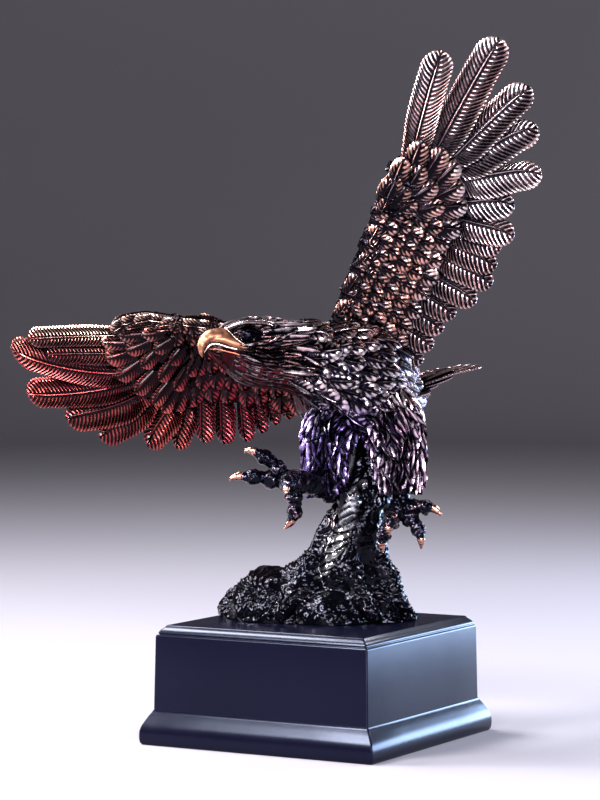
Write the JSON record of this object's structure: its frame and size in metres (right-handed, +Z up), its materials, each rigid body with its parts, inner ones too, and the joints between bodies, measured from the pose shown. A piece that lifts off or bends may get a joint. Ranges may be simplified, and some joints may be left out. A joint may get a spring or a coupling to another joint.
{
  "type": "cast eagle statuette on a plinth",
  "caption": "Cast bird-of-prey statuette with raised wings and thrown talons, standing on a stump and mound on a square moulded black plinth.",
  "frame": {"origin": "centre of the plinth's underside", "axes": "+Z up, -Y the plinth's front, which the bird's body faces; +X to the raised wing's side"},
  "size_m": [0.3232, 0.1712, 0.3801],
  "materials": {
    "plinth_black": "satin black lacquer over wood",
    "copper_bronze": "antiqued copper and bronze plating, dark in the grooves, rubbed bright on the ridges"
  },
  "bodies": {
    "root": {"plinth": "plinth_black", "eagle_casting": "copper_bronze"}
  },
  "joints": []
}
